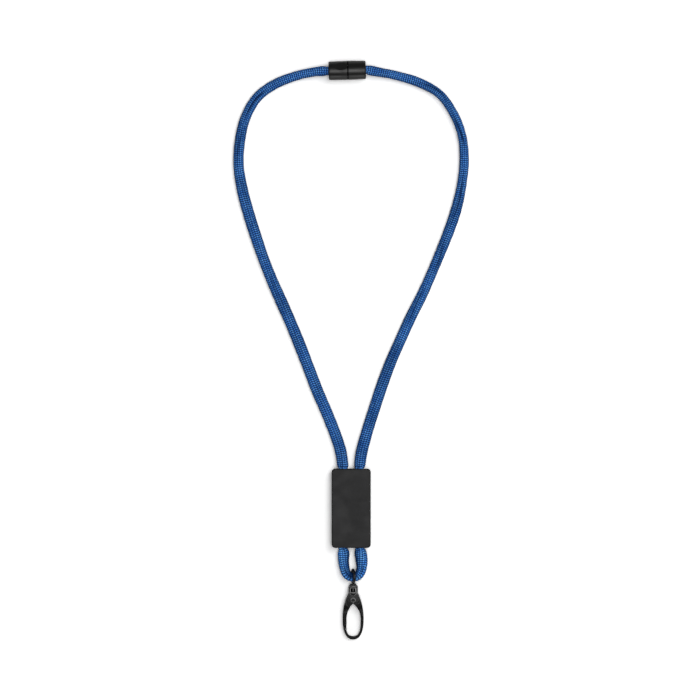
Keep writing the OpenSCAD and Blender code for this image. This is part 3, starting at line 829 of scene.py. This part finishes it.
# Stations of the cord in millimetres: x, y, lift of the underside, and flatness from 0, round, to about 1
LEFT_STATIONS: list[Station] = [
    (-4.75, -82.05, 1.4, 0),
    (-4.75, -81.25, 1.8, 0.4),
    (-4.9, -79, 1.9, 0.9),
    (-6.4, -69.5, 0.8, 1),
    (-10.2, -57.7, 0.1, 1),
    (-16, -43, 0, 1),
    (-22.5, -28, 0, 1.1),
    (-28.6, -12, 0, 1),
    (-34.5, 3.3, 0, 1.1),
    (-41, 19.3, 0, 1),
    (-47.6, 34.3, 0, 1.1),
    (-54.4, 49.8, 0, 0.9),
    (-60.5, 65.3, 0, 0.8),
    (-66, 81.3, 0, 1),
    (-71, 97.3, 0, 1),
    (-75.2, 113.3, 0, 0.9),
    (-77.8, 130.2, 0, 0.6),
    (-76.9, 147.2, 0, 0.6),
    (-73, 163.7, 0, 0.5),
    (-64.6, 178.2, 0, 0.4),
    (-51.5, 187.7, 0, 0.4),
    (-36.2, 193.4, 0.8, 0.2),
    (-25.3, 195.6, 2.5, 0.2),
    (-19.3, 196.2, 3.8, 0.5),
    (-15.595, 196.326, 3.6, 0),
    (-14.795, 196.347, 3.6, 0),
    (-8.398, 196.514, 3.6, 0),
]
RIGHT_STATIONS: list[Station] = [
    (6.75, -82.05, 1.4, 0),
    (6.75, -81.25, 1.8, 0.4),
    (7.1, -79, 1.9, 0.9),
    (8.5, -69.8, 0.9, 1.1),
    (12.6, -54.8, 0.1, 1),
    (17.7, -38.8, 0, 1),
    (23, -22.8, 0, 1),
    (29, -6.8, 0, 0.9),
    (35.8, 8.6, 0, 0.8),
    (42.9, 24.2, 0, 0.8),
    (50.4, 39, 0, 0.7),
    (57.2, 54.2, 0, 0.5),
    (63.9, 70.2, 0, 0.6),
    (70, 85.6, 0, 0.7),
    (75.2, 101.6, 0, 0.7),
    (78.7, 118.2, 0, 0.3),
    (80.2, 134.8, 0, 0.3),
    (78.5, 151.9, 0, 0),
    (72.4, 167.3, 0, 0),
    (62.5, 180.6, 0, 0),
    (47.5, 188.8, 0, 0.3),
    (31.5, 193.5, 0.9, 0.1),
    (21, 195.4, 2.7, 0.2),
    (15.1, 196.5, 3.8, 0.5),
    (12.095, 197.051, 3.6, 0),
    (11.296, 197.03, 3.6, 0),
    (4.898, 196.862, 3.6, 0),
]
LOOP_STATIONS: list[Station] = [
    (-4.75, -82.05, 1.4, 0),
    (-4.75, -84.25, 1.4, 0),
    (-4.75, -87.35, 1.75, 0.35),
    (-4.75, -109.7, 1.75, 0.35),
    (-4.75, -132.05, 1.75, 0.35),
    (-4.75, -135.15, 1.4, 0),
    (-4.75, -137.35, 1.4, 0),
    (-4.3, -141, 2.3, 1.1),
    (-4.3, -146.5, 2.1, 0.8),
    (-3.6, -151.6, 1.9, 0.5),
    (-2.3, -155.3, 2, 0.3),
    (-0.2, -157.4, 2, 0.1),
    (2.4, -157.9, 2.023, 0),
    (5, -157.4, 2, 0.1),
    (7.1, -155.3, 2, 0.3),
    (8.3, -151.6, 1.9, 0.6),
    (8.3, -146.5, 2.1, 1.2),
    (7.6, -141, 2.3, 1.3),
    (6.75, -137.35, 1.4, 0),
    (6.75, -135.15, 1.4, 0),
    (6.75, -132.05, 1.75, 0.35),
    (6.75, -109.7, 1.75, 0.35),
    (6.75, -87.35, 1.75, 0.35),
    (6.75, -84.25, 1.4, 0),
    (6.75, -82.05, 1.4, 0),
]


@dataclass
class NeckCord:
    """The three stretches of the cord, from the connector through the tag and round the hook's eye."""

    braid: Braid = field(default_factory=Braid)
    # the loop's colours are a painted lit copy of the cord's, lighter than the neck stretches
    lit_loop_base: Triple = (0.003, 0.180, 1.000)
    lit_loop_light: Triple = (0.350, 0.830, 1.000)
    loop_middle: tuple[float, float] = (2.0, -148.0)
    blend_start: Triple = (-0.0047, -0.082, 0.004)
    blend_end: Triple = (-0.0193, 0.1962, 0.006)

    def stretches(self) -> list[Cord]:
        """The left and the right strand, and the loop round the eye.

        Returns:
            The stretches.
        """
        return [
            Cord("neck_cord_left", LEFT_STATIONS, FarEnd.CONNECTOR, self.braid, seed=3,
                 far_body=Body.PLUG, with_nodes=["plug_ferrule"]),
            Cord("neck_cord_right", RIGHT_STATIONS, FarEnd.CONNECTOR, self.braid, seed=17,
                 with_nodes=["socket_ferrule"]),
            Cord("hook_loop_cord", LOOP_STATIONS, FarEnd.OBJECT, self.braid, seed=29,
                 inner=self.loop_middle, tone=0.0),
        ]

    def build(self) -> None:
        neck = BraidFinish(slant=self.braid.slant)
        # the loop takes a lighter, painted lit copy of the cord's finish
        loop = replace(neck, name="braided_loop_lit", base=self.lit_loop_base, light=self.lit_loop_light)
        finishes = [neck.make()] * 2 + [loop.make()]
        for stretch, finish in zip(self.stretches(), finishes):
            piece, path = stretch.build()
            dress(piece, finish)
            if stretch.far_body is Body.PLUG:
                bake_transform(piece)
            else:
                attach(piece, Body.STRAP.value)
            stretch.declare(piece, path)


# Connector


@dataclass
class ConnectorHalf:
    """Turned shell of one half of the breakaway connector, in millimetres, with a bore for the cord.

    The direction is 1 for the half to the right of the parting line and -1 for the other. An edge is the
    distance from a corner at which its rounding starts.
    """

    node: str
    body: Body
    length: float
    direction: int
    bore_r: float
    thumb: bool
    centre: Triple = (-1.3, 196.7, 6.7)
    turn: float = math.radians(1.5)
    parting_r: float = 6.7
    end_r: float = 6.45
    end_edge: float = 1.0
    gap: float = 0.01
    groove: float = 0.35
    groove_shade: float = 1.6
    bore_edge: float = 0.15
    mouth_r: float = 3.25
    mouth_wall: float = 1.8
    mouth_flare: float = 0.4
    mouth_flare_l: float = 0.5
    mouth_edges: Range = (0.25, 0.2)
    pocket_r: float = 3.68
    pocket_l: float = 4.75
    pocket_edge: float = 0.05
    skin_wall: float = 1.5
    thumb_l: float = 8.2
    thumb_depth: float = 0.8
    thumb_at: float = 4.9
    thumb_turn: float = math.radians(24)
    thumb_edge: float = 0.12
    segments: int = 160
    step: float = 0.3

    def profile(self) -> Array:
        """Closed profile of the shell with rounded corners.

        Returns:
            Points of the profile: distance from the parting line, and radius.
        """
        end, wall = self.length, self.length - self.mouth_wall
        pocket = wall - self.pocket_l
        corners = np.array([
            (self.gap, self.bore_r, self.bore_edge),
            (self.gap, self.parting_r, self.groove),
            (end, self.end_r, self.end_edge),
            (end, self.mouth_r + self.mouth_flare, self.mouth_edges[0]),
            (end - self.mouth_flare_l, self.mouth_r, self.mouth_edges[1]),
            (wall, self.mouth_r, self.pocket_edge),
            (wall, self.pocket_r, self.pocket_edge),
            (pocket, self.pocket_r, self.pocket_edge),
            (pocket, self.bore_r, self.pocket_edge),
        ])
        return spread(rounded_loop(corners[:, :2], corners[:, 2]), self.step)

    def outside(self, radius: Array) -> Array:
        """Whether a radius is on the outer skin, and not on the bore or the pocket."""
        return radius > self.pocket_r + self.skin_wall

    def build(self) -> bpy.types.Object:
        """Turns the profile round the axis; a thumb recess takes the smaller of the radius and a ball's.

        Painted shade darkens the groove along the parting line.

        Returns:
            The piece.
        """
        profile = self.profile()
        along, radius = profile[:, 0][:, None], profile[:, 1][:, None]
        angle = 2 * np.pi * np.arange(self.segments)[None, :] / self.segments
        radius = np.broadcast_to(radius, (len(profile), self.segments)).copy()
        if self.thumb:
            for facing in (0.0, np.pi):
                radius = self.recess(along, radius, angle - np.pi / 2 + self.thumb_turn - facing)
        axis = np.array([math.cos(self.turn), math.sin(self.turn), 0.0]) * self.direction
        side = np.array([-math.sin(self.turn), math.cos(self.turn), 0.0])
        points = (
            np.array(self.centre)
            + axis * along[..., None]
            + side * (radius * np.cos(angle))[..., None]
            + np.array(UP) * (radius * np.sin(angle))[..., None]
        )
        # painted shade in the groove along the parting line
        dark = np.broadcast_to(np.clip(self.groove_shade - along / self.groove, 0, 1), radius.shape)
        shade = np.where(self.outside(radius), dark, 0.0)
        if self.direction > 0:
            points, shade = points[::-1], shade[::-1]
        return grid_object(self.node + "_skin", points * MM, shade, wrap_rows=True)

    def recess(self, along: Array, radius: Array, turn: Array) -> Array:
        """Radius with a ball-shaped recess: the near side of the ball on each ray from the axis.

        Args:
            along: distances from the parting line.
            radius: radii of the shell.
            turn: angles from the middle of the recess.

        Returns:
            The smaller of the two radii, with a soft edge; inner faces stay as they are.
        """
        ball = (self.thumb_l / 2) ** 2 / (2 * self.thumb_depth)
        away = (self.parting_r + self.end_r) / 2 + ball - self.thumb_depth
        inside = ball**2 - (along - self.thumb_at) ** 2 - (away * np.sin(turn)) ** 2
        near = away * np.cos(turn) - np.sqrt(np.maximum(inside, 0))
        soft = self.thumb_edge
        lower = -soft * np.log(np.exp(-radius / soft) + np.exp(-near / soft))
        hit = (inside > 0) & (np.cos(turn) > 0) & self.outside(radius)
        return np.where(hit, lower, radius)


@dataclass
class Connector:
    """Breakaway connector: both shells made smooth, and the pieces inside as they are."""

    plug: ConnectorHalf = field(default_factory=lambda: ConnectorHalf(
        "plug_shell", Body.PLUG, length=13.5, direction=-1, bore_r=4.35, thumb=True))
    socket: ConnectorHalf = field(default_factory=lambda: ConnectorHalf(
        "socket_shell", Body.STRAP, length=12.6, direction=1, bore_r=3.74, thumb=False))
    shell: MouldedFinish = MouldedFinish(
        "satin_black", base=(0.0028, 0.0025, 0.0025), worn=(0.0075, 0.0069, 0.0067), roughness=(0.30, 0.42),
        grain=2600.0, grain_depth=0.00003, specular=0.42, edge=0.0002, shaded_groove=True)
    prong: MouldedFinish = MouldedFinish(
        "black_acetal", base=(0.010, 0.010, 0.011), worn=(0.02, 0.02, 0.021), roughness=(0.25, 0.35),
        grain=2000.0, grain_depth=0.00002, specular=0.5, edge=0.0002)
    ferrule: MouldedFinish = MouldedFinish(
        "plated_crimp", base=(0.45, 0.45, 0.46), worn=(0.62, 0.62, 0.63), roughness=(0.25, 0.4),
        grain=3000.0, grain_depth=0.00002, specular=0.5, edge=0.0002, metallic=1.0)

    def build(self) -> None:
        """Makes the shells, and dresses them and the pieces inside."""
        shell = self.shell.make()
        for half in (self.plug, self.socket):
            piece = half.build()
            dress(piece, shell)
            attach(piece, half.body.value)
            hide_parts(half.node)
            LOG.info("%s made", piece.name)
        dress_nodes(self.prong.make(), "plug_insert")
        dress_nodes(self.ferrule.make(), "plug_ferrule", "socket_ferrule")


# Tag and hook


@dataclass
class Tag:
    """Cord tag of two clamped shells."""

    finish: MouldedFinish = MouldedFinish(
        "charcoal_tag", base=(0.009, 0.009, 0.0094), worn=(0.022, 0.022, 0.023), roughness=(0.52, 0.66),
        grain=1800.0, grain_depth=0.00006, specular=0.3, edge=0.0004)

    def build(self) -> None:
        """Dresses both shells."""
        dress_nodes(self.finish.make(), "tag_front", "tag_back")


@dataclass
class Hook:
    """Swivel snap hook with its eye, gate, pin and spring."""

    # the coat's bright edges, full at the yoke, are wear and painted highlight
    coat: MouldedFinish = MouldedFinish(
        "black_coat", base=(0.002, 0.002, 0.0021), worn=(0.005, 0.005, 0.0051), roughness=(0.20, 0.32),
        grain=3200.0, grain_depth=0.00003, specular=0.15, edge=0.0007,
        lumps=0.00015, wear_and_highlight=0.65, wear_and_highlight_y=(-0.180, -0.164))
    gloss: MouldedFinish = replace(
        coat, name="black_gloss", roughness=(0.16, 0.26), specular=0.35, lumps=0.0, wear_and_highlight=0.0)
    rivet: RivetFinish = RivetFinish(centre=(0.0024, -0.17386))
    wire: MouldedFinish = MouldedFinish(
        "spring_wire", base=(0.4, 0.4, 0.41), worn=(0.6, 0.6, 0.6), roughness=(0.2, 0.3),
        grain=4000.0, grain_depth=0.00001, specular=0.5, edge=0.0001, metallic=1.0)

    def build(self) -> None:
        """Dresses the hook's pieces."""
        dress_nodes(self.coat.make(), "hook_body", "hook_gate")
        dress_nodes(self.gloss.make(), "swivel_eye")
        dress_nodes(self.rivet.make(), "gate_pin")
        dress_nodes(self.wire.make(), "gate_spring")


# Studio


@dataclass(frozen=True)
class Lamp:
    """Square soft light that faces the middle of the object."""

    name: str
    at: Triple
    size: float
    power: float
    mirrored: bool = True

    def build(self) -> None:
        """Hangs the light; a light that isn't mirrored leaves no highlight."""
        data = bpy.data.lights.new(self.name, "AREA")
        data.size = self.size
        data.energy = self.power
        lamp = bpy.data.objects.new(self.name, data)
        lamp.location = self.at
        lamp.rotation_euler = (-Vector(self.at)).to_track_quat("-Z", "Y").to_euler()
        lamp.visible_glossy = self.mirrored
        lamp.visible_camera = False
        bpy.context.scene.collection.objects.link(lamp)


@dataclass
class Studio:
    """Camera straight above, white paper, a key light from the upper right and soft lights round it.

    Sizes and places are in metres, but the sensor is in millimetres.
    """

    view_w: float = 0.490
    view_z: float = 0.005
    centre: tuple[float, float] = (0.0002, 0.00105)
    height: float = 3.0
    sensor: float = 36.0
    floor: FloorFinish = FloorFinish()
    floor_half: float = 3.0
    floor_z: float = -0.0001
    ambient: float = 0.18
    lamps: tuple[Lamp, ...] = (
        Lamp("key", (1.0, 0.9, 2.2), size=1.5, power=24.0, mirrored=False),
        Lamp("fill", (0.2, -0.35, 3.3), size=1.8, power=46.0),
        Lamp("strip", (0.0, -1.9, 0.3), size=0.5, power=4.0),
        Lamp("side", (1.9, 0.1, 0.5), size=0.8, power=8.0),
        Lamp("left", (-1.9, -0.1, 0.4), size=0.6, power=4.0),
    )

    def camera(self) -> None:
        """Hangs the camera, which sees the photographed width at the height view_z."""
        data = bpy.data.cameras.new("camera")
        data.sensor_width = self.sensor
        data.lens = self.sensor * (self.height - self.view_z) / self.view_w
        camera = bpy.data.objects.new("camera", data)
        camera.location = (*self.centre, self.height)
        bpy.context.scene.collection.objects.link(camera)
        bpy.context.scene.camera = camera

    def paper(self) -> None:
        """Lays the floor just under the object."""
        half, z = self.floor_half, self.floor_z
        corners = [(-half, -half, z), (half, -half, z), (half, half, z), (-half, half, z)]
        mesh = bpy.data.meshes.new("floor")
        mesh.from_pydata(corners, [], [(0, 1, 2, 3)])
        floor = add_object("floor", mesh)
        dress(floor, self.floor.make())

    def world(self) -> None:
        """Makes even white surroundings, which the camera sees as plain white."""
        world = bpy.data.worlds.new("studio")
        bpy.context.scene.world = world
        world.use_nodes = True
        nodes, links = world.node_tree.nodes, world.node_tree.links
        background = nodes["Background"]
        rays = nodes.new("ShaderNodeLightPath")
        strength = nodes.new("ShaderNodeMapRange")
        strength.inputs[3].default_value = self.ambient
        strength.inputs[4].default_value = 1.0
        links.new(rays.outputs["Is Camera Ray"], strength.inputs[0])
        links.new(strength.outputs[0], background.inputs["Strength"])
        background.inputs["Color"].default_value = colour(WHITE)

    def build(self) -> None:
        """Sets up the view, the light and the floor."""
        bpy.context.scene.view_settings.view_transform = "Standard"
        self.camera()
        self.paper()
        self.world()
        for lamp in self.lamps:
            lamp.build()
        LOG.info("studio made")


def main() -> None:
    """Builds the lanyard's looks."""
    logging.basicConfig(level=logging.INFO)
    Studio().build()
    NeckCord().build()
    Connector().build()
    Tag().build()
    Hook().build()


if __name__ == "__main__":
    main()
